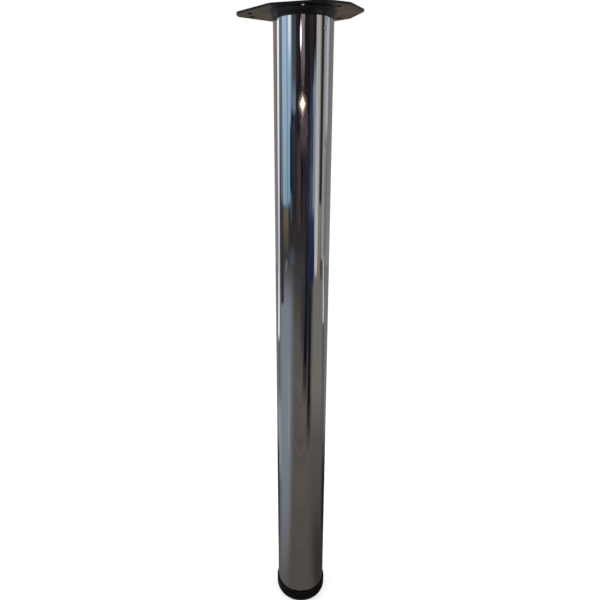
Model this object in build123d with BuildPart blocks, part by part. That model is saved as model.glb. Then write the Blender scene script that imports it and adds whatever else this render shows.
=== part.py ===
from build123d import *
from math import cos, radians, tan
import os

# Table leg: a chromed tube on a levelling foot, with a dished fixing plate at its top.
# Sizes are in millimetres. The origin is the middle of the foot's base and +Z runs up the tube.
# The plate's long tail points along -X, and the plate is alike on both sides of the X axis.

# Tube
tube_diameter = 60.0
tube_wall = 1.2
tube_length = 680.0
tube_edge_break = 0.3

# Crimps that hold the top insert in the tube
crimp_diameter = 4.0
crimp_depth = 0.4
crimp_drop = 10.5
crimp_angle = -41.6
crimp_count = 2
crimp_window_margin = 1.0
crimp_window_clearance = 0.15

# Foot cup
foot_height = 21.5
foot_overhang = 1.6
foot_rounding = 11.8
foot_wall = 2.6
foot_floor = 3.0
foot_inner_chamfer = 6.0
foot_rim_chamfer = 0.4
foot_hub_wall = 3.6
foot_hub_height = 13.0
foot_rib_thickness = 2.0
foot_rib_count = 6
foot_rib_drop = 5.0

# Soft pad in the foot's base
pad_diameter = 36.0
pad_thickness = 2.0
pad_stand = 0.6
pad_gap = 0.3

# Screw threads, the hexagon nuts and the foot's hexagon bolt
thread_diameter = 10.0
thread_clearance = 0.05
thread_end_chamfer = 1.0
hexagon_flats = 16.0
nut_height = 8.4
bolt_head_height = 6.4
bolt_length = 45.0
pocket_clearance = 0.1
passage_clearance = 0.4

# Moulded inserts at the tube's ends
insert_clearance = 0.05
insert_wall = 2.4
insert_height = 26.0
insert_disc = 3.0
insert_hub_wall = 3.6
insert_ledge = 6.0
insert_rib_thickness = 2.0
insert_rib_count = 6
insert_rib_drop = 4.0
insert_lead_chamfer = 0.8
bottom_insert_recess = 0.8

# Fixing plate and its dish
plate_thickness = 2.2
dish_depth = 6.3
dish_seat_margin = 1.3
dish_draft = 15.0
dish_base_chamfer = 0.8
dish_mouth_rounding = 4.5
nose_reach = 58.7
shoulder_reach = 45.3
shoulder_half_width = 28.9
wing_reach = 21.5
wing_margin = 13.1
waist_reach = 28.6
waist_margin = 6.4
tail_reach = 65.9
tail_half_width = 5.9
nose_rounding = 3.0
side_rounding = 10.0
tail_rounding = 8.0
screw_hole_diameter = 6.0
tail_hole_reach = 51.5
tail_hole_half_spacing = 7.5
side_hole_reach = 34.6
side_hole_half_spacing = 25.0

# Stud pressed into the plate
stud_length = 22.0
stud_head_diameter = 22.0
stud_head_thickness = 2.8
stud_head_chamfer = 0.8

# Heights and radii that follow from the sizes above
tube_radius = tube_diameter / 2
bore_radius = tube_radius - tube_wall
thread_radius = thread_diameter / 2
passage_radius = thread_radius + passage_clearance
hexagon_corner_radius = hexagon_flats / 2 / cos(radians(30))
pocket_flat_radius = hexagon_flats / 2 + pocket_clearance
pocket_corner_radius = pocket_flat_radius / cos(radians(30))
tube_bottom = foot_height
tube_top = tube_bottom + tube_length
plate_underside = tube_top + dish_depth
plate_top = plate_underside + plate_thickness

# Crimps: opposite dimples in the tube's wall, each pressed from outside by a round punch
crimp_punch_radius = (crimp_diameter**2 / 4 + crimp_depth**2) / (2 * crimp_depth)
crimp_back_radius = crimp_punch_radius + tube_wall
crimp_reach = tube_radius + crimp_punch_radius - crimp_depth
crimp_height = tube_top - crimp_drop


def crimp_balls(ball_radius):
    with BuildPart() as balls:
        with Locations((0, 0, crimp_height)):
            with PolarLocations(crimp_reach, crimp_count, start_angle=crimp_angle):
                Sphere(ball_radius)
    return balls.part


# Tube: drawn steel, cut square, with a broken outer edge at both ends
with BuildPart() as leg_tube:
    with BuildSketch(Plane.XY.offset(tube_bottom)):
        Circle(tube_radius)
    extrude(amount=tube_length)
    chamfer(leg_tube.edges().filter_by(GeomType.CIRCLE), tube_edge_break)
    with BuildSketch(Plane.XY.offset(tube_bottom)):
        Circle(bore_radius)
    extrude(amount=tube_length, mode=Mode.SUBTRACT)
    # The wall pushed inwards behind each dimple, trimmed to the outside of the tube
    add(crimp_balls(crimp_back_radius))
    with BuildSketch(Plane.XY.offset(tube_bottom)):
        Circle(crimp_reach + 2 * crimp_back_radius)
        Circle(tube_radius, mode=Mode.SUBTRACT)
    extrude(amount=tube_length, mode=Mode.SUBTRACT)
    # The dimples themselves
    add(crimp_balls(crimp_punch_radius), mode=Mode.SUBTRACT)
leg_tube.part.label = "leg_tube"


# Inserts: moulded plugs with a closed disc, an outer wall, and a ribbed hub that holds a nut.
# The face plane carries the closed disc and looks into the tube.
insert_radius = bore_radius - insert_clearance
insert_hub_radius = pocket_corner_radius + insert_hub_wall
insert_rib_start = insert_hub_radius - insert_hub_wall / 2
insert_rib_end = insert_radius - insert_wall / 2
insert_rib_middle = (insert_rib_start + insert_rib_end) / 2


def moulded_insert(face, pocket_start, pocket_end):
    into_tube = Axis(face.origin, face.z_dir)
    inside = face.offset(insert_disc)
    with BuildPart() as insert:
        with BuildSketch(face):
            Circle(insert_radius)
        extrude(amount=insert_height)
        chamfer(insert.faces().sort_by(into_tube)[-1].edges(), insert_lead_chamfer)
        with BuildSketch(inside):
            Circle(insert_radius - insert_wall)
            Circle(insert_hub_radius, mode=Mode.SUBTRACT)
        extrude(amount=insert_height, mode=Mode.SUBTRACT)
        with BuildSketch(inside):
            with PolarLocations(insert_rib_middle, insert_rib_count):
                Rectangle(insert_rib_end - insert_rib_start, insert_rib_thickness)
        extrude(amount=insert_height - insert_disc - insert_rib_drop)
        with BuildSketch(face.offset(pocket_start)):
            RegularPolygon(pocket_flat_radius, 6, major_radius=False)
        extrude(amount=pocket_end - pocket_start, mode=Mode.SUBTRACT)
        with BuildSketch(face):
            Circle(passage_radius)
        extrude(amount=insert_height, mode=Mode.SUBTRACT)
    return insert


# Top insert: its disc meets the plate's dish, and the stud pulls the nut up against the ledge.
# The crimps' backs lock into two windows in its wall.
crimp_window_depth = crimp_depth + crimp_window_clearance
crimp_window_width = crimp_diameter + 2 * crimp_window_margin
top_face = Plane((0, 0, tube_top), x_dir=(1, 0, 0), z_dir=(0, 0, -1))
top_insert = moulded_insert(top_face, insert_ledge, insert_height)
with top_insert:
    with Locations((0, 0, crimp_height)):
        with PolarLocations(insert_radius, crimp_count, start_angle=crimp_angle):
            Box(2 * crimp_window_depth, crimp_window_width, crimp_window_width, mode=Mode.SUBTRACT)
top_insert.part.label = "top_insert"

# Bottom insert: its nut lies in the face, where the foot's bolt pushes it up against the hub
bottom_face = Plane.XY.offset(tube_bottom + bottom_insert_recess)
bottom_insert = moulded_insert(bottom_face, 0, nut_height)
bottom_insert.part.label = "bottom_insert"


# Nuts: hexagons with turned corners and a bore that clears the thread's outside
turned_drop = (hexagon_corner_radius - hexagon_flats / 2) * tan(radians(30))


def hexagon_nut(base_height):
    with BuildPart() as nut:
        with BuildSketch(Plane.XY.offset(base_height)):
            RegularPolygon(hexagon_flats / 2, 6, major_radius=False)
            Circle(thread_radius + thread_clearance, mode=Mode.SUBTRACT)
        extrude(amount=nut_height)
        with BuildSketch(Plane.XZ):
            with BuildLine():
                Polyline(
                    (0, base_height),
                    (hexagon_flats / 2, base_height),
                    (hexagon_corner_radius, base_height + turned_drop),
                    (hexagon_corner_radius, base_height + nut_height - turned_drop),
                    (hexagon_flats / 2, base_height + nut_height),
                    (0, base_height + nut_height),
                    close=True,
                )
            make_face()
        revolve(axis=Axis.Z, mode=Mode.INTERSECT)
    return nut


top_nut = hexagon_nut(tube_top - insert_ledge - nut_height)
top_nut.part.label = "top_nut"
bottom_nut = hexagon_nut(tube_bottom + bottom_insert_recess)
bottom_nut.part.label = "bottom_nut"


# Foot cup: one moulding with a rounded lower edge, a ribbed hub and a recess for the pad.
# The bolt's head goes up into the hub from below, and the pad covers it.
cup_radius = tube_radius + foot_overhang
cup_inner_radius = cup_radius - foot_wall
cup_base = pad_stand
cup_floor = cup_base + foot_floor
recess_roof = pad_thickness
recess_radius = pad_diameter / 2 + pad_gap
foot_hub_radius = pocket_corner_radius + foot_hub_wall
foot_rib_start = foot_hub_radius - foot_hub_wall / 2
foot_rib_end = cup_inner_radius + foot_wall / 2

# The space inside the cup, around its hub and ribs
with BuildPart() as cup_hollow:
    with BuildSketch(Plane.XY.offset(cup_floor)):
        Circle(cup_inner_radius)
    extrude(amount=foot_height - cup_floor)
    chamfer(cup_hollow.faces().sort_by(Axis.Z)[0].edges(), foot_inner_chamfer)
    with BuildSketch(Plane.XY.offset(cup_floor)):
        Circle(foot_hub_radius)
    extrude(amount=cup_base + foot_hub_height - cup_floor, mode=Mode.SUBTRACT)
    with BuildSketch(Plane.XY.offset(cup_floor)):
        with PolarLocations((foot_rib_start + foot_rib_end) / 2, foot_rib_count):
            Rectangle(foot_rib_end - foot_rib_start, foot_rib_thickness)
    extrude(amount=foot_height - foot_rib_drop - cup_floor, mode=Mode.SUBTRACT)

with BuildPart() as foot_cup:
    with BuildSketch(Plane.XY.offset(cup_base)):
        Circle(cup_radius)
    extrude(amount=foot_height - cup_base)
    fillet(foot_cup.faces().sort_by(Axis.Z)[0].edges(), foot_rounding)
    chamfer(foot_cup.faces().sort_by(Axis.Z)[-1].edges(), foot_rim_chamfer)
    add(cup_hollow.part, mode=Mode.SUBTRACT)
    with BuildSketch(Plane.XY.offset(cup_base)):
        Circle(recess_radius)
    extrude(amount=recess_roof - cup_base, mode=Mode.SUBTRACT)
    with BuildSketch(Plane.XY.offset(recess_roof)):
        RegularPolygon(pocket_flat_radius, 6, major_radius=False)
    extrude(amount=bolt_head_height, mode=Mode.SUBTRACT)
    with BuildSketch(Plane.XY.offset(recess_roof)):
        Circle(passage_radius)
    extrude(amount=foot_height, mode=Mode.SUBTRACT)
foot_cup.part.label = "foot_cup"


# Foot bolt: a hexagon head seated in the cup's hub, and a shank that screws into the tube
head_top = recess_roof + bolt_head_height
with BuildPart() as foot_bolt:
    with BuildSketch(Plane.XY.offset(recess_roof)):
        RegularPolygon(hexagon_flats / 2, 6, major_radius=False)
    extrude(amount=bolt_head_height)
    with BuildSketch(Plane.XZ):
        with BuildLine():
            Polyline(
                (0, recess_roof),
                (hexagon_flats / 2, recess_roof),
                (hexagon_corner_radius, recess_roof + turned_drop),
                (hexagon_corner_radius, head_top),
                (0, head_top),
                close=True,
            )
        make_face()
    revolve(axis=Axis.Z, mode=Mode.INTERSECT)
    with BuildSketch(Plane.XY.offset(head_top)):
        Circle(thread_radius)
    extrude(amount=bolt_length)
    chamfer(foot_bolt.faces().sort_by(Axis.Z)[-1].edges(), thread_end_chamfer)
foot_bolt.part.label = "foot_bolt"


# Pad: a soft disc in the base's recess that stands a little below the cup
with BuildPart() as floor_pad:
    with BuildSketch():
        Circle(pad_diameter / 2)
    extrude(amount=pad_thickness)
floor_pad.part.label = "floor_pad"


# Fixing plate: pressed steel, nine-cornered, drawn down in the middle into a round dish
draft_slope = tan(radians(dish_draft))
seat_radius = tube_radius + dish_seat_margin
mouth_radius = seat_radius + dish_depth * draft_slope
wall_across = plate_thickness / cos(radians(dish_draft))
hollow_seat_height = tube_top + plate_thickness
hollow_seat_radius = seat_radius + plate_thickness * draft_slope - wall_across
hollow_mouth_radius = hollow_seat_radius + dish_depth * draft_slope
wing_half_width = tube_radius + wing_margin
waist_half_width = tube_radius + waist_margin
half_outline = [
    (nose_reach, 0),
    (shoulder_reach, shoulder_half_width),
    (wing_reach, wing_half_width),
    (-waist_reach, waist_half_width),
    (-tail_reach, tail_half_width),
]
other_half = [(x, -y) for x, y in reversed(half_outline[1:])]
hollow_rounding = dish_mouth_rounding + plate_thickness

with BuildPart() as mounting_plate:
    with BuildSketch(Plane.XY.offset(plate_underside)) as outline:
        with BuildLine():
            Polyline(*half_outline, *other_half, close=True)
        make_face()
        fillet(outline.vertices().filter_by_position(Axis.X, -waist_reach, shoulder_reach), side_rounding)
        fillet(outline.vertices().filter_by_position(Axis.X, nose_reach, nose_reach), nose_rounding)
        fillet(outline.vertices().filter_by_position(Axis.X, -tail_reach, -tail_reach), tail_rounding)
    extrude(amount=plate_thickness)
    # The dish as a solid cup first, with a broken edge at its base and flared where it meets the flat
    with BuildSketch(Plane.XZ):
        with BuildLine():
            Polyline(
                (0, tube_top),
                (seat_radius, tube_top),
                (mouth_radius, plate_underside),
                (mouth_radius, plate_top),
                (0, plate_top),
                close=True,
            )
        make_face()
    revolve(axis=Axis.Z)
    chamfer(mounting_plate.faces().sort_by(Axis.Z)[0].edges(), dish_base_chamfer)
    flat_underside = mounting_plate.faces().filter_by_position(Axis.Z, plate_underside, plate_underside)[0]
    fillet(flat_underside.inner_wires()[0].edges(), dish_mouth_rounding)
    # Then the hollow, flared at its mouth as the sheet bends
    with BuildSketch(Plane.XZ):
        with BuildLine():
            Polyline(
                (0, hollow_seat_height),
                (hollow_seat_radius, hollow_seat_height),
                (hollow_mouth_radius, plate_top),
                (0, plate_top),
                close=True,
            )
        make_face()
    revolve(axis=Axis.Z, mode=Mode.SUBTRACT)
    hollow_ring = mounting_plate.faces().sort_by(Axis.Z)[-1].inner_wires()[0].edges()
    fillet(hollow_ring, hollow_rounding)
    # Holes: one for the stud, two at the tail and one at each shoulder
    with BuildSketch(Plane.XY.offset(tube_top)):
        Circle(thread_radius + thread_clearance)
    extrude(amount=plate_thickness, mode=Mode.SUBTRACT)
    with BuildSketch(Plane.XY.offset(plate_underside)):
        with Locations((-tail_hole_reach, -tail_hole_half_spacing), (-tail_hole_reach, tail_hole_half_spacing)):
            Circle(screw_hole_diameter / 2)
        with Locations((side_hole_reach, -side_hole_half_spacing), (side_hole_reach, side_hole_half_spacing)):
            Circle(screw_hole_diameter / 2)
    extrude(amount=plate_thickness, mode=Mode.SUBTRACT)
mounting_plate.part.label = "mounting_plate"


# Stud: a flat round head pressed and welded into the dish, and a shank down into the top nut
stud_head_seat = tube_top + plate_thickness
with BuildPart() as plate_stud:
    with BuildSketch(Plane.XY.offset(stud_head_seat)):
        Circle(stud_head_diameter / 2)
    extrude(amount=stud_head_thickness)
    chamfer(plate_stud.faces().sort_by(Axis.Z)[-1].edges(), stud_head_chamfer)
    with BuildSketch(Plane.XY.offset(stud_head_seat)):
        Circle(thread_radius)
    extrude(amount=-(plate_thickness + stud_length))
    chamfer(plate_stud.faces().sort_by(Axis.Z)[0].edges(), thread_end_chamfer)
plate_stud.part.label = "plate_stud"


os.makedirs("parts", exist_ok=True)
pieces = [
    leg_tube,
    top_insert,
    top_nut,
    bottom_insert,
    bottom_nut,
    foot_cup,
    foot_bolt,
    floor_pad,
    mounting_plate,
    plate_stud,
]
for piece in pieces:
    export_step(piece.part, f"parts/{piece.part.label}.step")
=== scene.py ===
import math

import bpy
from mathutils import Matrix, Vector


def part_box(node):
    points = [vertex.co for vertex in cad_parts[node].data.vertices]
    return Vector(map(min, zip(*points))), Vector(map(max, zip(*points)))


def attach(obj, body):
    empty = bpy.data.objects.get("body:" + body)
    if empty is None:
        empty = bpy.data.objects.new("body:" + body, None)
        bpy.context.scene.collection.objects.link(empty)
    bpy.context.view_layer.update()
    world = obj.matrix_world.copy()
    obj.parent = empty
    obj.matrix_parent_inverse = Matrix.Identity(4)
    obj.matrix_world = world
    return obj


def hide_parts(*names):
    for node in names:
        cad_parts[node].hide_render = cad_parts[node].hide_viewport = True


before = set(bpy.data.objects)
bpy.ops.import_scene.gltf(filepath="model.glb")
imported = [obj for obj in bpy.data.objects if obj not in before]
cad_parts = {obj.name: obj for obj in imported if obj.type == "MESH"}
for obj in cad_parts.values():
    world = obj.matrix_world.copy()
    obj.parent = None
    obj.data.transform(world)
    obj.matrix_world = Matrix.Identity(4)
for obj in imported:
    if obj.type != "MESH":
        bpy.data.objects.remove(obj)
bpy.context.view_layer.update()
print("frame loaded")

mm = 0.001  # the part's sizes are kept in millimetres


# colours and nodes

def linearColour(hexCode):
    parts = [int(hexCode[i:i + 2], 16) / 255 for i in (1, 3, 5)]
    linear = [p / 12.92 if p <= 0.04045 else ((p + 0.055) / 1.055) ** 2.4 for p in parts]
    return (*linear, 1.0)


def addNode(tree, kind, settings=None, inputs=None):
    node = tree.nodes.new(kind)
    for name, value in (settings or {}).items():
        setattr(node, name, value)
    for name, value in (inputs or {}).items():
        if isinstance(value, bpy.types.NodeSocket):
            tree.links.new(value, node.inputs[name])
        else:
            node.inputs[name].default_value = value
    return node


def newMaterial(name):
    material = bpy.data.materials.new(name)
    material.use_nodes = True
    tree = material.node_tree
    tree.nodes.clear()
    return material, tree, addNode(tree, "ShaderNodeOutputMaterial")


def fromTo(before, after=(0, 1)):
    # the limits that a Map Range node takes
    return {"From Min": before[0], "From Max": before[1], "To Min": after[0], "To Max": after[1]}


# the photograph's camera

cameraSettings = {
    "turn": 4.4,  # degrees round the leg from its front
    "distance": 561.1,  # from the tube's axis, level
    "height": 590.5,
    "pitch": 17.69,  # degrees down
    "yaw": -2.06,  # degrees, to the left of the axis
    "roll": 0.31,
    "lens": 30.75,
    "sensor": 36,
    "shiftX": 0.0260,
    "shiftY": 0.0062,
    "nearest": 0.01,  # metres
    "farthest": 100,  # metres
}


def makeCamera(s):
    turn = math.radians(s["turn"])
    bpy.ops.object.camera_add()
    camera = bpy.context.object
    camera.name = "photoCamera"
    camera.location = Vector((math.sin(turn), -math.cos(turn), 0)) * s["distance"] * mm
    camera.location.z = s["height"] * mm
    heading = turn - math.radians(s["yaw"])
    camera.rotation_mode = "XYZ"
    camera.rotation_euler = (math.radians(90 - s["pitch"]), 0, heading)
    camera.rotation_euler.rotate_axis("Z", math.radians(-s["roll"]))
    camera.data.lens = s["lens"]
    camera.data.sensor_width = s["sensor"]
    camera.data.shift_x = s["shiftX"]
    camera.data.shift_y = s["shiftY"]
    camera.data.clip_start = s["nearest"]
    camera.data.clip_end = s["farthest"]
    bpy.context.scene.camera = camera


makeCamera(cameraSettings)
bpy.context.scene.view_settings.view_transform = "Standard"
print("camera set")


# lamps, floor and background

lightSettings = {
    "worldLevel": 0.55,  # how brightly the white background lights the leg
    "floorColour": "#e6e6e4",
    "floorSize": 30,  # metres
    "floorLift": 0.6,  # brings the floor to white where the camera or a mirror sees it
    "aim": (0, 0, 0.4),  # metres, and so are the lamps' sizes and places
}

lamps = [
    {"name": "keyLamp", "watts": 9.0, "size": 1.2, "place": (-1.1, -1.0, 1.5)},
    {"name": "fillLamp", "watts": 4.0, "size": 1.4, "place": (1.3, -0.8, 1.1)},
]


def looksStraight(tree):
    # 1 for what the camera sees, also in a mirror or through glass, and 0 for light on its way
    path = addNode(tree, "ShaderNodeLightPath")
    seen = path.outputs["Is Camera Ray"]
    for ray in ("Is Glossy Ray", "Is Transmission Ray"):
        either = addNode(tree, "ShaderNodeMath", {"operation": "MAXIMUM"}, {0: seen, 1: path.outputs[ray]})
        seen = either.outputs[0]
    return seen


def makeWorld(s):
    world = bpy.data.worlds.new("studioWorld")
    bpy.context.scene.world = world
    world.use_nodes = True
    tree = world.node_tree
    tree.nodes.clear()
    strength = addNode(tree, "ShaderNodeMix", {"data_type": "FLOAT"},
                       {"Factor": looksStraight(tree), "A": s["worldLevel"], "B": 1.0})
    background = addNode(tree, "ShaderNodeBackground", None,
                         {"Color": (1, 1, 1, 1), "Strength": strength.outputs[0]})
    addNode(tree, "ShaderNodeOutputWorld", None, {"Surface": background.outputs[0]})


def makeFloor(s):
    bpy.ops.mesh.primitive_plane_add(size=s["floorSize"])
    floor = bpy.context.object
    floor.name = "floor"
    material, tree, output = newMaterial("paleFloor")
    diffuse = addNode(tree, "ShaderNodeBsdfDiffuse", None, {"Color": linearColour(s["floorColour"])})
    lift = addNode(tree, "ShaderNodeMath", {"operation": "MULTIPLY"},
                   {0: looksStraight(tree), 1: s["floorLift"]})
    glow = addNode(tree, "ShaderNodeEmission", None, {"Color": (1, 1, 1, 1), "Strength": lift.outputs[0]})
    both = addNode(tree, "ShaderNodeAddShader", None, {0: diffuse.outputs[0], 1: glow.outputs[0]})
    tree.links.new(both.outputs[0], output.inputs["Surface"])
    floor.data.materials.append(material)


def makeLamp(s, aim):
    bpy.ops.object.light_add(type="AREA", location=s["place"])
    lamp = bpy.context.object
    lamp.name = s["name"]
    lamp.data.energy = s["watts"]
    lamp.data.size = s["size"]
    direction = Vector(aim) - Vector(s["place"])
    lamp.rotation_euler = direction.to_track_quat("-Z", "Y").to_euler()
    lamp.visible_glossy = False  # the cards below are what the chrome mirrors


makeWorld(lightSettings)
makeFloor(lightSettings)
for lamp in lamps:
    makeLamp(lamp, lightSettings["aim"])
print("lamps, floor and background made")


# cards that stand round the leg for the chrome and the gloss paint to mirror
# angles are degrees to the right of the camera, seen from the leg; lengths are millimetres
# the cards glow and are seen only in reflections: their colours are the painted light and shade of a room

roomSettings = {
    "mirrorGain": 1.5,  # makes up for the light that the chrome takes
    "wallDistance": 2250,
    "wallHeight": 3000,
    "floorInner": 21,
    "floorHeight": 0.3,
    "floorRows": 12,
    "sides": 60,  # of the round wall and floor
    "cardTop": 1300,  # where a card names no height of its own
    "cardSoft": 0.12,  # share of a card's width
    "cardRows": 8,
    "patchHeight": 0.4,  # of the first patch, just above the floor
    "patchStep": 0.1,  # up from each patch to the next
    "patchRows": 16,
    "columnWidth": 4,  # degrees
}

# span is a card's two sides at its top, and footSpan those at its foot where it leans; soft, softLow and
# softHigh are the shares over which its edges fade; streaks is how many upright streaks break up its colour
cards = [
    {"name": "farLeftWall", "span": (-182, -121), "distance": 1950, "top": "#736e6b", "foot": "#7a7a7c"},
    {"name": "farRightWall", "span": (107, 182), "distance": 1950, "top": "#6c6865", "foot": "#797979"},
    {"name": "backWall", "span": (160, 200), "distance": 1940, "top": "#7b705f", "foot": "#7d7260",
     "soft": 0.3},
    {"name": "doorShade", "span": (99, 112), "distance": 1940, "high": 560, "top": "#767b80",
     "foot": "#6d6d6e", "soft": 0.25},
    {"name": "greyDoor", "span": (83, 104), "distance": 1930, "low": 22, "top": "#858c8f",
     "foot": "#8c8c8c", "softLow": 0.02},
    {"name": "doorEdge", "span": (100.5, 115), "distance": 1920, "low": 490, "top": "#adb1b4",
     "foot": "#a0a5a8", "soft": 0.35, "softLow": 0.25},
    {"name": "darkStrip", "span": (69, 86), "distance": 1645, "low": 375, "top": "#2d2721",
     "foot": "#302c25", "soft": 0.2, "softLow": 0.06},
    {"name": "lightWallEdge", "span": (39, 54), "distance": 1925, "low": 60, "high": 1000,
     "top": "#8b9199", "foot": "#6b7683", "soft": 0.2, "softLow": 0.15, "softHigh": 0.25},
    {"name": "lightWall", "span": (47, 70), "footSpan": (50.5, 70), "distance": 1650, "top": "#9a9b97",
     "foot": "#b4b5b7", "soft": 0.18, "softLow": 0.05},
    {"name": "tanPost", "span": (64.5, 73), "distance": 1640, "top": "#8f877a", "foot": "#786d5e",
     "soft": 0.35},
    {"name": "tanSkirting", "span": (66, 86), "footSpan": (62, 83), "distance": 1640, "high": 360,
     "top": "#7d776c", "foot": "#77695a", "soft": 0.3, "softHigh": 0.1, "softLow": 0.1},
    {"name": "steelPanel", "span": (26, 43), "distance": 1890, "low": 240, "high": 980, "top": "#1f2136",
     "foot": "#3f4d62", "soft": 0.2, "softHigh": 0.35, "streaks": 7},
    {"name": "paleStreak", "span": (36, 46), "distance": 1880, "low": 650, "high": 850, "top": "#78808c",
     "foot": "#5c6674", "soft": 0.35, "softLow": 0.3, "softHigh": 0.3},
    {"name": "rosePanel", "span": (-10, 7), "distance": 1860, "low": 740, "top": "#958488",
     "foot": "#463b3e", "soft": 0.22, "softLow": 0.3, "streaks": 5},
    {"name": "plumShade", "span": (-16, 24), "distance": 1850, "low": 480, "high": 730, "top": "#51484f",
     "foot": "#3c3436", "soft": 0.3, "softLow": 0.5, "softHigh": 0.25, "streaks": 12},
    {"name": "umberPosts", "span": (-27, -5), "footSpan": (-23, -4), "distance": 1850, "low": 150,
     "high": 640, "top": "#463637", "foot": "#382e2a", "soft": 0.3, "softLow": 0.2, "softHigh": 0.2,
     "streaks": 9},
    {"name": "dimWall", "span": (-42, -26), "distance": 1880, "low": 800, "top": "#3c3b3e",
     "foot": "#4a4c50", "soft": 0.25},
    {"name": "greyGreenWall", "span": (-51.5, -40), "distance": 1875, "low": 690, "top": "#686f78",
     "foot": "#627489", "soft": 0.25, "softLow": 0.1},
    {"name": "blueShelf", "span": (-43, -26), "distance": 1870, "low": 690, "high": 850, "top": "#5d6b7c",
     "foot": "#6d7c92", "soft": 0.25, "softLow": 0.2, "softHigh": 0.5},
    {"name": "darkDoorway", "span": (-53, -39.5), "distance": 1842, "low": 350, "high": 690,
     "top": "#22303e", "foot": "#0f202f", "soft": 0.16, "softHigh": 0.2, "softLow": 0.1},
    {"name": "slateDoorway", "span": (-41.5, -27), "distance": 1864, "low": 300, "high": 700,
     "top": "#2f333e", "foot": "#23272e", "soft": 0.2, "softLow": 0.2, "softHigh": 0.15, "streaks": 5},
    {"name": "slateStep", "span": (-52.5, -40), "distance": 1838, "low": 205, "high": 370,
     "top": "#43586a", "foot": "#2e3944", "soft": 0.3, "softLow": 0.3, "softHigh": 0.2},
    {"name": "farFloorGlow", "span": (-64, -24), "distance": 1990, "high": 130, "top": "#3a3d44",
     "foot": "#484c54", "soft": 0.4, "softHigh": 0.7},
    {"name": "window", "span": (-89, -61), "distance": 1850, "low": 285, "top": "#a6bccf",
     "foot": "#7d97a9", "soft": 0.1, "softLow": 0.04},
    {"name": "windowSide", "span": (-63, -47), "distance": 1845, "low": 290, "top": "#9bb6cc",
     "foot": "#7893a4", "soft": 0.12, "softLow": 0.05},
    {"name": "windowBar", "span": (-67.5, -62), "distance": 1840, "low": 290, "top": "#7f99b4",
     "foot": "#5d7a93", "soft": 0.4},
    {"name": "brightPane", "span": (-59.5, -46), "distance": 1835, "low": 850, "top": "#f4fbff",
     "foot": "#b4cce0", "soft": 0.25, "softLow": 0.35},
    {"name": "sillShade", "span": (-89, -56), "distance": 1845, "low": 20, "high": 290, "top": "#665b4b",
     "foot": "#2f2e32", "soft": 0.2, "softLow": 0.15},
    {"name": "sillGleam", "span": (-76, -60), "footSpan": (-80, -66), "distance": 1800, "low": 0,
     "high": 75, "top": "#6f7376", "foot": "#5c6468", "soft": 0.4, "softLow": 0.2, "softHigh": 0.4},
    {"name": "leftPost", "span": (-101.5, -88), "distance": 1830, "low": 250, "top": "#646c74",
     "foot": "#586369", "soft": 0.2, "softLow": 0.12},
    {"name": "leftStand", "span": (-104, -82.5), "distance": 1290, "high": 425, "top": "#353b40",
     "foot": "#2b2b2f", "soft": 0.22, "softHigh": 0.25, "softLow": 0.06},
    {"name": "darkScreen", "span": (10, 30), "distance": 1300, "low": 0, "high": 640, "top": "#2b282f",
     "foot": "#191b23", "soft": 0.2, "softHigh": 0.25, "softLow": 0.1, "streaks": 7},
    {"name": "slateBand", "span": (16, 29), "distance": 1290, "low": 330, "high": 470, "top": "#222834",
     "foot": "#2f3646", "soft": 0.3, "softLow": 0.3, "softHigh": 0.3},
    {"name": "navyChest", "span": (27, 51), "distance": 1250, "low": 75, "high": 385, "top": "#2a345a",
     "foot": "#161a3c", "soft": 0.22, "softLow": 0.2, "softHigh": 0.2},
    {"name": "whiteBoard", "span": (-120, -99.5), "footSpan": (-124, -107), "distance": 1000, "low": 170,
     "high": 950, "top": "#f2f1f2", "foot": "#b4b5ba", "soft": 0.25, "softLow": 0.12},
    {"name": "whiteBoardFoot", "span": (-123, -107), "footSpan": (-134, -113.5), "distance": 915,
     "high": 300, "top": "#cbc9cd", "foot": "#ebe8e5", "soft": 0.25, "softHigh": 0.3, "softLow": 0.15},
    {"name": "paleLath", "span": (99.5, 106.5), "footSpan": (105.5, 115), "distance": 1090, "high": 245,
     "top": "#b8b4b0", "foot": "#b4b0ac", "soft": 0.25, "softHigh": 0.1, "softLow": 0.08},
    {"name": "farTrestle", "span": (12, 30.5), "footSpan": (4, 25), "distance": 745, "high": 320,
     "top": "#20202c", "foot": "#101011", "soft": 0.25, "softHigh": 0.3, "softLow": 0.1},
    {"name": "nearTrestle", "span": (26.5, 42.5), "footSpan": (24.5, 41), "distance": 522, "high": 330,
     "top": "#1b1c30", "foot": "#11120f", "soft": 0.25, "softHigh": 0.2, "softLow": 0.1},
]

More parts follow.
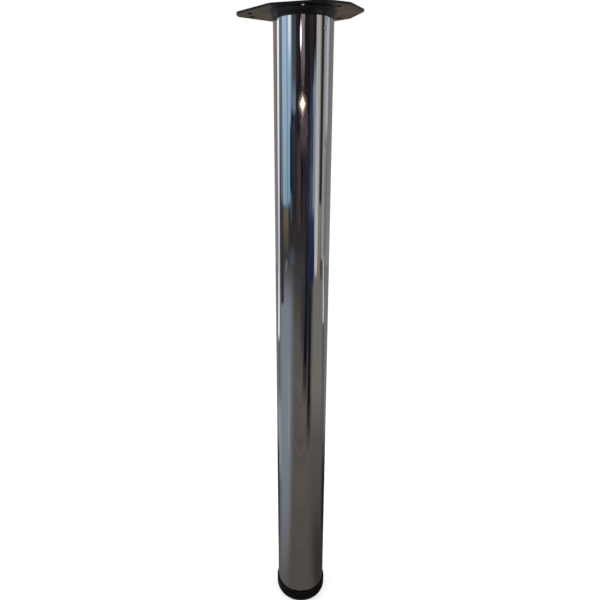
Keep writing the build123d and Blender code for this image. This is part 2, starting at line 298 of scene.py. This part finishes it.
# patches of light and shade that lie on the floor: reach is how far from the leg each starts and ends, span
# its two sides at its far end, and nearSpan those at its near end where they differ; softNear and softFar are
# the shares over which its two ends fade
floorPatches = [
    {"name": "leftBackLight", "span": (-182, -122), "reach": (350, 2300), "colour": "#69696c",
     "soft": 0.12, "softNear": 0.1, "softFar": 0.01},
    {"name": "leftGleam", "span": (-138, -98), "reach": (240, 660), "colour": "#868b90", "soft": 0.3,
     "softNear": 0.35, "softFar": 0.3},
    {"name": "rightBackLight", "span": (101, 182), "nearSpan": (130, 182), "reach": (330, 2300),
     "colour": "#6d6b69", "soft": 0.1, "softNear": 0.15, "softFar": 0.01},
    {"name": "windowLight", "span": (-126, -24), "nearSpan": (-128, -44), "reach": (28, 2245),
     "colour": "#767c86", "soft": 0.34, "softNear": 0.68, "softFar": 0.15},
    {"name": "centreShade", "span": (-14, 46), "reach": (720, 1900), "colour": "#353438", "soft": 0.3,
     "softNear": 0.4, "softFar": 0.1},
    {"name": "windowLightPale", "span": (-66, -53), "reach": (320, 950), "colour": "#84878c", "soft": 0.4,
     "softNear": 0.3, "softFar": 0.3},
    {"name": "doorLight", "span": (42, 112), "reach": (380, 1900), "colour": "#6c6864", "soft": 0.16,
     "softNear": 0.4, "softFar": 0.1},
    {"name": "doorwayMat", "span": (80, 98), "reach": (1640, 2080), "colour": "#48443f", "soft": 0.3,
     "softNear": 0.3, "softFar": 0.3},
    {"name": "rightShade", "span": (28, 190), "reach": (20, 400), "colour": "#34302b", "soft": 0.3,
     "softFar": 0.5, "softNear": 0.01},
    {"name": "farTrestleShade", "span": (-2, 32), "reach": (540, 860), "colour": "#2f2d2b", "soft": 0.4,
     "softNear": 0.6, "softFar": 0.3},
    {"name": "nearTrestleShade", "span": (20, 45), "reach": (360, 640), "colour": "#2a2927", "soft": 0.4,
     "softNear": 0.6, "softFar": 0.3},
    {"name": "leftBackShade", "span": (-200, -124), "reach": (90, 430), "colour": "#26262a", "soft": 0.1,
     "softNear": 0.2, "softFar": 0.2},
    {"name": "rightBackShade", "span": (106, 195), "reach": (100, 500), "colour": "#1e1c1a", "soft": 0.2,
     "softNear": 0.3, "softFar": 0.45},
]


def between(first, last, share):
    return first + (last - first) * share


def hideFromAllButGloss(obj):
    obj.visible_camera = False
    obj.visible_diffuse = False
    obj.visible_transmission = False
    obj.visible_volume_scatter = False
    obj.visible_shadow = False


def cardPoint(angle, distance, height):
    turn = math.radians(cameraSettings["turn"] - 90 + angle)
    return Vector((math.cos(turn) * distance, math.sin(turn) * distance, height)) * mm


def polarGrid(name, columns, rows, place):
    # a plain grid, bent round the leg: place gives a point for each share across and up
    bpy.ops.mesh.primitive_grid_add(x_subdivisions=columns, y_subdivisions=rows, size=2)
    grid = bpy.context.object
    grid.name = name
    for vertex in grid.data.vertices:
        vertex.co = place((vertex.co.x + 1) / 2, (vertex.co.y + 1) / 2)
    hideFromAllButGloss(grid)
    return grid


def columnsAcross(span):
    return max(1, round((span[1] - span[0]) / roomSettings["columnWidth"]))


def angleAt(lower, upper, u, v):
    # lower and upper are a card's two sides at its foot and its top, or a patch's at its near and far end
    return between(between(*lower, u), between(*upper, u), v)


streakSettings = {
    "upShare": 0.5,  # streaks up for each one across
    "detail": 4.0,
    "roughness": 0.7,
    "contrast": (0.35, 0.65),
    "levels": (0.2, 2.0),  # of the card's own light
}


def streakLevel(tree, uv, streaks, s):
    stretched = addNode(tree, "ShaderNodeMapping", None,
                        {"Vector": uv, "Scale": (streaks, s["upShare"] * streaks, 1)})
    lines = addNode(tree, "ShaderNodeTexNoise", None,
                    {"Vector": stretched.outputs[0], "Scale": 1.0, "Detail": s["detail"],
                     "Roughness": s["roughness"]})
    levels = [level * roomSettings["mirrorGain"] for level in s["levels"]]
    level = addNode(tree, "ShaderNodeMapRange", None,
                    {"Value": lines.outputs[0], **fromTo(s["contrast"], levels)})
    return level.outputs[0]


def cardMaterial(name, top, foot, edges, streaks=0):
    # a glowing card that fades out over the given shares of its left, right, lower and upper edge
    material, tree, output = newMaterial(name)
    uv = addNode(tree, "ShaderNodeTexCoord").outputs["UV"]
    place = addNode(tree, "ShaderNodeSeparateXYZ", None, {0: uv})
    cover = None
    for share, axis, edge in zip(edges, "XXYY", (0, 1, 0, 1)):
        if share == 0:
            continue
        fade = addNode(tree, "ShaderNodeMapRange", {"interpolation_type": "SMOOTHSTEP"},
                       {"Value": place.outputs[axis], **fromTo((edge, abs(edge - share)))})
        if cover is None:
            cover = fade
        else:
            cover = addNode(tree, "ShaderNodeMath", {"operation": "MULTIPLY"},
                            {0: cover.outputs[0], 1: fade.outputs[0]})
    shade = addNode(tree, "ShaderNodeMix", {"data_type": "RGBA"},
                    {"Factor": place.outputs["Y"], 6: linearColour(foot), 7: linearColour(top)})
    strength = roomSettings["mirrorGain"]
    if streaks:
        strength = streakLevel(tree, uv, streaks, streakSettings)
    glow = addNode(tree, "ShaderNodeEmission", None, {"Color": shade.outputs[2], "Strength": strength})
    clear = addNode(tree, "ShaderNodeBsdfTransparent")
    mixed = addNode(tree, "ShaderNodeMixShader", None,
                    {0: cover.outputs[0], 1: clear.outputs[0], 2: glow.outputs[0]})
    tree.links.new(mixed.outputs[0], output.inputs["Surface"])
    return material


def makeCard(card, s):
    span = card["span"]
    footSpan = card.get("footSpan", span)
    low, high = card.get("low", 0), card.get("high", s["cardTop"])
    # a card with no height of its own has its top row drawn up to the ceiling, for views from lower down
    extra = 0 if "high" in card else s["wallHeight"] - high
    topRow = 1 - 0.5 / s["cardRows"]

    def place(u, v):
        height = between(low, high, v) + (extra if v > topRow else 0)
        return cardPoint(angleAt(footSpan, span, u, v), card["distance"], height)

    grid = polarGrid(card["name"], columnsAcross(span), s["cardRows"], place)
    soft = card.get("soft", s["cardSoft"])
    edges = (soft, soft, card.get("softLow", 0), card.get("softHigh", 0))
    streaks = card.get("streaks", 0)
    grid.data.materials.append(cardMaterial(card["name"], card["top"], card["foot"], edges, streaks))


def makeFloorPatch(patch, height, s):
    span = patch["span"]
    nearSpan = patch.get("nearSpan", span)
    near, far = patch["reach"]
    # rows crowd towards the leg, each as many times farther out than the one before
    grid = polarGrid(patch["name"], columnsAcross(span), s["patchRows"], lambda u, v: cardPoint(
        angleAt(nearSpan, span, u, v), near * (far / near) ** v, height))
    edges = (patch["soft"], patch["soft"], patch["softNear"], patch["softFar"])
    grid.data.materials.append(cardMaterial(patch["name"], patch["colour"], patch["colour"], edges))


def setRamp(ramp, stops):
    while len(ramp.elements) < len(stops):
        ramp.elements.new(1.0)
    for element, (position, hexCode) in zip(ramp.elements, stops):
        element.position = position
        element.color = linearColour(hexCode)


wallSettings = {
    "streaks": (110, 4, 1),  # across the whole round, and up
    "detail": 3.0,
    "roughness": 0.6,
    "upper": [(0.38, "#100f14"), (0.52, "#211e23"), (0.68, "#383033")],
    "lower": [(0.38, "#242327"), (0.52, "#312e30"), (0.68, "#42393a")],
    "lowerEnds": 0.16,  # share of the wall's height
}


def wallMaterial(s):
    # the dark room between the cards, with soft upright streaks, lighter where it meets the floor
    material, tree, output = newMaterial("darkRoomWall")
    uv = addNode(tree, "ShaderNodeTexCoord").outputs["UV"]
    stretched = addNode(tree, "ShaderNodeMapping", None, {"Vector": uv, "Scale": s["streaks"]})
    streaks = addNode(tree, "ShaderNodeTexNoise", None,
                      {"Vector": stretched.outputs[0], "Scale": 1.0, "Detail": s["detail"],
                       "Roughness": s["roughness"]})
    upper = addNode(tree, "ShaderNodeValToRGB", None, {"Fac": streaks.outputs[0]})
    setRamp(upper.color_ramp, s["upper"])
    lower = addNode(tree, "ShaderNodeValToRGB", None, {"Fac": streaks.outputs[0]})
    setRamp(lower.color_ramp, s["lower"])
    place = addNode(tree, "ShaderNodeSeparateXYZ", None, {0: uv})
    rise = addNode(tree, "ShaderNodeMapRange", {"interpolation_type": "SMOOTHSTEP"},
                   {"Value": place.outputs["Y"], "From Max": s["lowerEnds"]})
    shade = addNode(tree, "ShaderNodeMix", {"data_type": "RGBA"},
                    {"Factor": rise.outputs[0], 6: lower.outputs[0], 7: upper.outputs[0]})
    glow = addNode(tree, "ShaderNodeEmission", None,
                   {"Color": shade.outputs[2], "Strength": roomSettings["mirrorGain"]})
    tree.links.new(glow.outputs[0], output.inputs["Surface"])
    return material


floorSettings = {
    # distance from the leg and colour; the UV runs by the square root of distance
    "colours": [(21, "#524d47"), (160, "#504c48"), (420, "#544f4b"), (650, "#5a5552"), (1000, "#545150"),
                (1350, "#484341"), (1750, "#3e3a3b"), (2250, "#343134")],
    "boardWidth": 45,
    "boardRepeats": 1.2,  # changes of tone along a board, in one metre
    "boardContrast": 0.16,
    "detail": 4.0,
    "roughness": 0.6,
    "contrast": (0.3, 0.7),
}


def floorMaterial(s, room):
    # a dull boarded floor with painted shade: darker far away, and darker close to the leg where its shadow
    # falls
    material, tree, output = newMaterial("mirroredFloor")
    texture = addNode(tree, "ShaderNodeTexCoord")
    place = addNode(tree, "ShaderNodeSeparateXYZ", None, {0: texture.outputs["UV"]})
    shade = addNode(tree, "ShaderNodeValToRGB", None, {"Fac": place.outputs["Y"]})
    whole = room["wallDistance"] - room["floorInner"]
    setRamp(shade.color_ramp, [(((reach - room["floorInner"]) / whole) ** 0.5, colour)
                               for reach, colour in s["colours"]])
    turned = addNode(tree, "ShaderNodeMapping", None,
                     {"Vector": texture.outputs["Object"],
                      "Rotation": (0, 0, -math.radians(cameraSettings["turn"])),
                      "Scale": (s["boardRepeats"], 1 / (s["boardWidth"] * mm), 1)})
    boards = addNode(tree, "ShaderNodeTexNoise", None,
                     {"Vector": turned.outputs[0], "Scale": 1.0, "Detail": s["detail"],
                      "Roughness": s["roughness"]})
    levels = [(1 + sign * s["boardContrast"]) * room["mirrorGain"] for sign in (-1, 1)]
    level = addNode(tree, "ShaderNodeMapRange", None,
                    {"Value": boards.outputs[0], **fromTo(s["contrast"], levels)})
    glow = addNode(tree, "ShaderNodeEmission", None,
                   {"Color": shade.outputs[0], "Strength": level.outputs[0]})
    tree.links.new(glow.outputs[0], output.inputs["Surface"])
    return material


def makeRoom(s):
    wall = polarGrid("roomWall", s["sides"], 1,
                     lambda u, v: cardPoint(360 * u - 180, s["wallDistance"], s["wallHeight"] * v))
    wall.data.materials.append(wallMaterial(wallSettings))
    # rows crowd towards the leg, as the square of their number
    floor = polarGrid("roomFloor", s["sides"], s["floorRows"], lambda u, v: cardPoint(
        360 * u - 180, between(s["floorInner"], s["wallDistance"], v * v), s["floorHeight"]))
    floor.data.materials.append(floorMaterial(floorSettings, s))


def lightCard(name, s):
    # a card for a light, with the place of each of its points from the middle, which is 1 at the sides
    def place(u, v):
        angle = s["angle"] + s["halfWidth"] * (2 * u - 1)
        return cardPoint(angle, s["distance"], s["height"] + s["halfHeight"] * (2 * v - 1))

    grid = polarGrid(name, *s["grid"], place)
    material, tree, output = newMaterial(name)
    grid.data.materials.append(material)
    texture = addNode(tree, "ShaderNodeTexCoord")
    centred = addNode(tree, "ShaderNodeMapping", None,
                      {"Vector": texture.outputs["UV"], "Location": (-1, -1, 0), "Scale": (2, 2, 0)})
    return tree, output, centred.outputs[0]


def roundGlow(tree, centred, colour, fade, strength):
    # nothing at the fade's first distance from the middle, and full strength at its second
    reach = addNode(tree, "ShaderNodeVectorMath", {"operation": "LENGTH"}, {0: centred})
    level = addNode(tree, "ShaderNodeMapRange", {"interpolation_type": "SMOOTHSTEP"},
                    {"Value": reach.outputs["Value"], **fromTo(fade, (0, strength))})
    return addNode(tree, "ShaderNodeEmission", None,
                   {"Color": linearColour(colour), "Strength": level.outputs[0]})


def shineThrough(tree, output, glow):
    # adds the glow to what stands behind its card
    clear = addNode(tree, "ShaderNodeBsdfTransparent")
    both = addNode(tree, "ShaderNodeAddShader", None, {0: glow.outputs[0], 1: clear.outputs[0]})
    tree.links.new(both.outputs[0], output.inputs["Surface"])


lampSettings = {
    "angle": -9.3,
    "distance": 1780,
    "height": 989,
    "halfWidth": 4.0,  # degrees
    "halfHeight": 69,
    "grid": (4, 4),
    "colour": "#fff2f5",
    "strength": 4.0,
    "fade": (1.0, 0.1),
}


def makeTallLamp(s):
    # the slim upright light that shows as a white streak below the plate: bright in the middle, pointed ends
    tree, output, centred = lightCard("tallLamp", s)
    shineThrough(tree, output, roundGlow(tree, centred, s["colour"], s["fade"], s["strength"]))


bulbSettings = {
    "angle": -2.0,
    "distance": 1500,
    "height": 716,
    "halfWidth": 22,  # degrees
    "halfHeight": 46,
    "grid": (12, 2),
    "core": 12.0,
    "coreColour": "#fff3e0",
    "coreFade": (0.98, 0.35),
    "halo": 0.85,
    "haloColour": "#d9b592",
    "haloFade": (0.95, 0.1),
}


def makeBulb(s):
    # the small warm bulb that shows as a star in the chrome
    tree, output, centred = lightCard("warmBulb", s)
    # a star of four points: the roots of the distances across and up, added, are small along both axes
    sides = addNode(tree, "ShaderNodeVectorMath", {"operation": "ABSOLUTE"}, {0: centred})
    parts = addNode(tree, "ShaderNodeSeparateXYZ", None, {0: sides.outputs[0]})
    rootX, rootY = [addNode(tree, "ShaderNodeMath", {"operation": "SQRT"}, {0: parts.outputs[axis]})
                    for axis in "XY"]
    pointed = addNode(tree, "ShaderNodeMath", {"operation": "ADD"},
                      {0: rootX.outputs[0], 1: rootY.outputs[0]})
    core = addNode(tree, "ShaderNodeMapRange", {"interpolation_type": "SMOOTHERSTEP"},
                   {"Value": pointed.outputs[0], **fromTo(s["coreFade"], (0, s["core"]))})
    star = addNode(tree, "ShaderNodeEmission", None,
                   {"Color": linearColour(s["coreColour"]), "Strength": core.outputs[0]})
    halo = roundGlow(tree, centred, s["haloColour"], s["haloFade"], s["halo"])
    lit = addNode(tree, "ShaderNodeAddShader", None, {0: star.outputs[0], 1: halo.outputs[0]})
    shineThrough(tree, output, lit)


makeRoom(roomSettings)
for number, patch in enumerate(floorPatches):
    height = roomSettings["patchHeight"] + roomSettings["patchStep"] * number
    makeFloorPatch(patch, height, roomSettings)
for card in cards:
    makeCard(card, roomSettings)
makeTallLamp(lampSettings)
makeBulb(bulbSettings)
print("mirror cards made")


# finishes: every pattern reads Object coordinates, and its size is in millimetres

wideSpread = (0.3, 0.7)  # what a noise pattern mostly lies between
narrowSpread = (0.35, 0.65)  # the same, for more contrast


def addPatterns(tree, s, roughness=0.5, **details):
    # a noise for each name, whose size the finish's settings give: one for all three axes, or one for each
    texture = addNode(tree, "ShaderNodeTexCoord")
    patterns = []
    for name, detail in details.items():
        sizes = s[name] if isinstance(s[name], tuple) else [s[name]] * 3
        place = addNode(tree, "ShaderNodeMapping", None,
                        {"Vector": texture.outputs["Object"], "Scale": [1 / (size * mm) for size in sizes]})
        noise = addNode(tree, "ShaderNodeTexNoise", None,
                        {"Vector": place.outputs[0], "Scale": 1.0, "Detail": detail, "Roughness": roughness})
        patterns.append(noise.outputs[0])
    return patterns


def finishSurface(tree, output, relief, depth, inputs):
    # relief is the pattern that stands up from the surface, by depth millimetres
    skin = addNode(tree, "ShaderNodeBump", None, {"Height": relief, "Distance": depth * mm})
    shader = addNode(tree, "ShaderNodeBsdfPrincipled", None, {**inputs, "Normal": skin.outputs[0]})
    tree.links.new(shader.outputs[0], output.inputs["Surface"])
    return skin


chromeSettings = {
    "drawLine": (1.6, 1.6, 260),  # faint lines left by drawing the tube
    "drawDepth": 0.0012,
    "drawRoughness": (0.0, 0.02),
    "wave": (14, 14, 90),  # the slow unevenness under the plate
    "waveDepth": 0.02,
    "smudge": (22, 22, 34),
    "smudgeSpread": (0.35, 0.7),
    "smudgeRoughness": (0.02, 0.05),
    "toneWarm": "#d6d4d0",
    "toneCool": "#cfd2d7",
}


def chromeFinish(s):
    # nickel and chrome plated steel: a clean mirror with slow waves, faint lengthwise lines and smudges
    material, tree, output = newMaterial("polishedChromePlate")
    drawLine, wave, smudge = addPatterns(tree, s, drawLine=3.0, wave=1.0, smudge=4.0)
    haze = addNode(tree, "ShaderNodeMapRange", None,
                   {"Value": smudge, **fromTo(s["smudgeSpread"], s["smudgeRoughness"])})
    scratch = addNode(tree, "ShaderNodeMapRange", None,
                      {"Value": drawLine, **fromTo(wideSpread, s["drawRoughness"])})
    gloss = addNode(tree, "ShaderNodeMath", {"operation": "ADD"},
                    {0: haze.outputs[0], 1: scratch.outputs[0]})
    tone = addNode(tree, "ShaderNodeMix", {"data_type": "RGBA"},
                   {"Factor": smudge, 6: linearColour(s["toneWarm"]), 7: linearColour(s["toneCool"])})
    waves = addNode(tree, "ShaderNodeBump", None, {"Height": wave, "Distance": s["waveDepth"] * mm})
    lines = finishSurface(tree, output, drawLine, s["drawDepth"],
                          {"Base Color": tone.outputs[2], "Metallic": 1.0, "Roughness": gloss.outputs[0]})
    tree.links.new(waves.outputs[0], lines.inputs["Normal"])
    return material


paintSettings = {
    "peel": 2.4,  # drawn about twice as coarse as real orange peel so that it shows
    "peelDepth": 0.02,
    "cloud": 26,
    "gloss": (0.25, 0.35),
    "deep": "#0b0b0c",
    "worn": "#15140f",
    "dust": 0.9,
    "dustPeaks": (0.72, 0.8),
    "dustCover": (0, 0.5),
    "dustColour": "#4a463e",
    # the spot below is a painted highlight: a pale point put into the colour under the plate's front edge,
    # where the dish's rim glints
    "paintedGlintPlace": (2.2, -35.6, 707.7),  # the one bright point under the plate's front edge
    "paintedGlintReach": 1.7,
    "paintedGlintCore": 0.4,  # share of its reach
    "paintedGlintColour": "#f2efe9",
}


def paintFinish(s):
    # black stoved paint on pressed steel: gloss over a soft orange peel, cloudy in tone, with a few specks
    # of dust and one small painted highlight, a pale spot put into the colour
    material, tree, output = newMaterial("blackStovedPaint")
    cloud, peel, dust = addPatterns(tree, s, cloud=3.0, peel=1.0, dust=1.0)
    specks = addNode(tree, "ShaderNodeMapRange", None,
                     {"Value": dust, **fromTo(s["dustPeaks"], s["dustCover"])})
    tone = addNode(tree, "ShaderNodeMix", {"data_type": "RGBA"},
                   {"Factor": cloud, 6: linearColour(s["deep"]), 7: linearColour(s["worn"])})
    dusty = addNode(tree, "ShaderNodeMix", {"data_type": "RGBA"},
                    {"Factor": specks.outputs[0], 6: tone.outputs[2], 7: linearColour(s["dustColour"])})
    # painted highlight: a small pale spot mixed into the colour where the dish's rim glints
    texture = addNode(tree, "ShaderNodeTexCoord")
    away = addNode(tree, "ShaderNodeVectorMath", {"operation": "DISTANCE"},
                   {0: texture.outputs["Object"], 1: [c * mm for c in s["paintedGlintPlace"]]})
    reach = s["paintedGlintReach"] * mm
    glintSpot = addNode(tree, "ShaderNodeMapRange", {"interpolation_type": "SMOOTHSTEP"},
                   {"Value": away.outputs["Value"], **fromTo((reach, s["paintedGlintCore"] * reach))})
    withPaintedGlint = addNode(tree, "ShaderNodeMix", {"data_type": "RGBA"},
                      {"Factor": glintSpot.outputs[0], 6: dusty.outputs[2], 7: linearColour(s["paintedGlintColour"])})
    gloss = addNode(tree, "ShaderNodeMapRange", None, {"Value": cloud, **fromTo(wideSpread, s["gloss"])})
    finishSurface(tree, output, peel, s["peelDepth"],
                  {"Base Color": withPaintedGlint.outputs[2], "Roughness": gloss.outputs[0]})
    return material


zincSettings = {
    "bloom": 5,
    "gloss": (0.24, 0.38),
    "blue": "#aeb6bf",
    "straw": "#bdb9a6",
    "grain": 0.7,
    "grainDepth": 0.01,
}


def zincFinish(s):
    # bright zinc plate on rolled steel: soft metal gloss with blue and straw passivation tints
    material, tree, output = newMaterial("brightZincPlate")
    bloom, grain = addPatterns(tree, s, bloom=3.0, grain=2.0)
    spread = addNode(tree, "ShaderNodeMapRange", None, {"Value": bloom, **fromTo(narrowSpread)})
    tint = addNode(tree, "ShaderNodeMix", {"data_type": "RGBA"},
                   {"Factor": spread.outputs[0], 6: linearColour(s["blue"]), 7: linearColour(s["straw"])})
    gloss = addNode(tree, "ShaderNodeMapRange", None, {"Value": bloom, **fromTo(wideSpread, s["gloss"])})
    finishSurface(tree, output, grain, s["grainDepth"],
                  {"Base Color": tint.outputs[2], "Metallic": 1.0, "Roughness": gloss.outputs[0]})
    return material


footSettings = {
    "flow": (30, 30, 1.6),
    "flowSpread": (0.48, 0.66),
    "gloss": (0.24, 0.36),
    "deep": "#050506",
    "worn": "#19191b",
    "shine": 0.2,
    "grain": 0.9,  # drawn coarser than a spark-eroded mould so that it shows
    "grainDepth": 0.012,
}


def footPlasticFinish(s):
    # moulded black polypropylene: fine grained satin, with faint rings of flow round the cup
    material, tree, output = newMaterial("mouldedBlackPlastic")
    flow, grain = addPatterns(tree, s, flow=3.0, grain=2.0)
    spread = addNode(tree, "ShaderNodeMapRange", None, {"Value": flow, **fromTo(s["flowSpread"])})
    tone = addNode(tree, "ShaderNodeMix", {"data_type": "RGBA"},
                   {"Factor": spread.outputs[0], 6: linearColour(s["deep"]), 7: linearColour(s["worn"])})
    gloss = addNode(tree, "ShaderNodeMapRange", None, {"Value": flow, **fromTo(wideSpread, s["gloss"])})
    finishSurface(tree, output, grain, s["grainDepth"],
                  {"Base Color": tone.outputs[2], "Roughness": gloss.outputs[0],
                   "Specular IOR Level": s["shine"]})
    return material


plugSettings = {
    "grain": 1.4,
    "grainDepth": 0.02,
    "gloss": (0.48, 0.6),
    "deep": "#141416",
    "pale": "#202022",
}


def plugPlasticFinish(s):
    # moulded black polyamide plugs: duller than the foot, straight from a plain mould
    material, tree, output = newMaterial("mouldedPlugPlastic")
    grain, = addPatterns(tree, s, grain=3.0)
    spread = addNode(tree, "ShaderNodeMapRange", None, {"Value": grain, **fromTo(wideSpread)})
    tone = addNode(tree, "ShaderNodeMix", {"data_type": "RGBA"},
                   {"Factor": spread.outputs[0], 6: linearColour(s["deep"]), 7: linearColour(s["pale"])})
    gloss = addNode(tree, "ShaderNodeMapRange", None, {"Value": grain, **fromTo(wideSpread, s["gloss"])})
    finishSurface(tree, output, grain, s["grainDepth"],
                  {"Base Color": tone.outputs[2], "Roughness": gloss.outputs[0]})
    return material


padSettings = {
    "fleck": 0.8,
    "fleckDepth": 0.08,
    "fleckRoughness": 0.7,  # of the pattern
    "roughness": 0.9,  # of the rubber
    "dark": "#4c4c4b",
    "pale": "#6f6e6b",
}


def padFinish(s):
    # soft grey rubber: matt, with pale flecks
    material, tree, output = newMaterial("softGreyRubber")
    fleck, = addPatterns(tree, s, roughness=s["fleckRoughness"], fleck=3.0)
    spread = addNode(tree, "ShaderNodeMapRange", None, {"Value": fleck, **fromTo(narrowSpread)})
    tone = addNode(tree, "ShaderNodeMix", {"data_type": "RGBA"},
                   {"Factor": spread.outputs[0], 6: linearColour(s["dark"]), 7: linearColour(s["pale"])})
    finishSurface(tree, output, fleck, s["fleckDepth"],
                  {"Base Color": tone.outputs[2], "Roughness": s["roughness"]})
    return material


chrome = chromeFinish(chromeSettings)
paint = paintFinish(paintSettings)
zinc = zincFinish(zincSettings)
footPlastic = footPlasticFinish(footSettings)
plugPlastic = plugPlasticFinish(plugSettings)
padRubber = padFinish(padSettings)
finishes = {
    "leg_tube": chrome,
    "mounting_plate": paint,
    "plate_stud": zinc,
    "top_insert": plugPlastic,
    "top_nut": zinc,
    "bottom_insert": plugPlastic,
    "bottom_nut": zinc,
    "foot_cup": footPlastic,
    "foot_bolt": zinc,
    "floor_pad": padRubber,
}
for name, finish in finishes.items():
    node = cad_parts[name]
    node.data.materials.clear()
    node.data.materials.append(finish)
print("finishes given")


# thread: a helical groove cut into a copy of the foot's bolt

threadSettings = {
    "pitch": 1.5,
    "rootRadius": 4.08,
    "rootFlat": 0.3,
    "mouthRadius": 5.06,  # just outside the screw, so that the groove breaks through its skin
    "mouthWidth": 1.43,
    "steps": 32,  # in one turn
    "headTop": 8.4,  # the hexagon head's upper face
    "neck": 1.2,  # plain length left next to the head
    "runOut": 1,  # past the screw's upper end
    "joinGap": 0.001,  # corners closer than this are joined before the cut
    "flatAngle": 0.5,  # degrees: faces that meet flatter than this are joined before the cut
    "smoothAngle": 32,  # degrees: edges flatter than this are shaded smooth
}


def threadGroove(start, turns, s):
    # a four-sided bar: the section lies in the XZ plane at the root, and one modifier winds it up
    bpy.ops.object.select_all(action="DESELECT")
    bpy.ops.mesh.primitive_plane_add(size=1, location=(0, 0, 0))
    groove = bpy.context.object
    corners = [(s["rootRadius"], -s["rootFlat"] / 2), (s["mouthRadius"], -s["mouthWidth"] / 2),
               (s["rootRadius"], s["rootFlat"] / 2), (s["mouthRadius"], s["mouthWidth"] / 2)]
    for vertex, (reach, rise) in zip(groove.data.vertices, corners):
        vertex.co = Vector((reach, 0, start + rise)) * mm
    bpy.ops.object.mode_set(mode="EDIT")
    bpy.ops.mesh.select_all(action="SELECT")
    bpy.ops.mesh.delete(type="ONLY_FACE")
    bpy.ops.object.mode_set(mode="OBJECT")
    winding = groove.modifiers.new("winding", "SCREW")
    winding.axis = "Z"
    winding.steps = s["steps"]
    winding.render_steps = s["steps"]
    winding.iterations = turns
    winding.screw_offset = s["pitch"] * mm
    winding.use_smooth_shade = False
    bpy.ops.object.modifier_apply(modifier=winding.name)
    bpy.ops.object.mode_set(mode="EDIT")
    bpy.ops.mesh.select_all(action="DESELECT")
    bpy.ops.mesh.select_mode(type="EDGE")
    bpy.ops.mesh.select_non_manifold()
    bpy.ops.mesh.edge_face_add()
    bpy.ops.mesh.select_all(action="SELECT")
    bpy.ops.mesh.normals_make_consistent(inside=False)
    bpy.ops.object.mode_set(mode="OBJECT")
    return groove


def threadedScrew(name, nodeName, body, low, high, s):
    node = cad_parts[nodeName]
    bpy.ops.object.select_all(action="DESELECT")
    screw = node.copy()
    screw.data = node.data.copy()
    screw.name = name
    bpy.context.collection.objects.link(screw)
    screw.select_set(True)
    bpy.context.view_layer.objects.active = screw
    bpy.ops.object.mode_set(mode="EDIT")
    bpy.ops.mesh.select_all(action="SELECT")
    bpy.ops.mesh.remove_doubles(threshold=s["joinGap"] * mm)
    bpy.ops.mesh.dissolve_limited(angle_limit=math.radians(s["flatAngle"]))
    bpy.ops.object.mode_set(mode="OBJECT")
    groove = threadGroove(low, math.ceil((high - low) / s["pitch"]), s)
    bpy.ops.object.select_all(action="DESELECT")
    screw.select_set(True)
    bpy.context.view_layer.objects.active = screw
    cut = screw.modifiers.new("thread", "BOOLEAN")
    cut.operation = "DIFFERENCE"
    cut.solver = "EXACT"
    cut.object = groove
    bpy.ops.object.modifier_apply(modifier=cut.name)
    bpy.data.objects.remove(groove)
    bpy.ops.object.shade_smooth_by_angle(angle=math.radians(s["smoothAngle"]))
    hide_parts(nodeName)
    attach(screw, body)


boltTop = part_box("foot_bolt")[1][2] / mm
grooveLow = threadSettings["headTop"] + threadSettings["neck"]
grooveHigh = boltTop + threadSettings["runOut"]
threadedScrew("footScrew", "foot_bolt", "foot", grooveLow, grooveHigh, threadSettings)
print("thread cut")
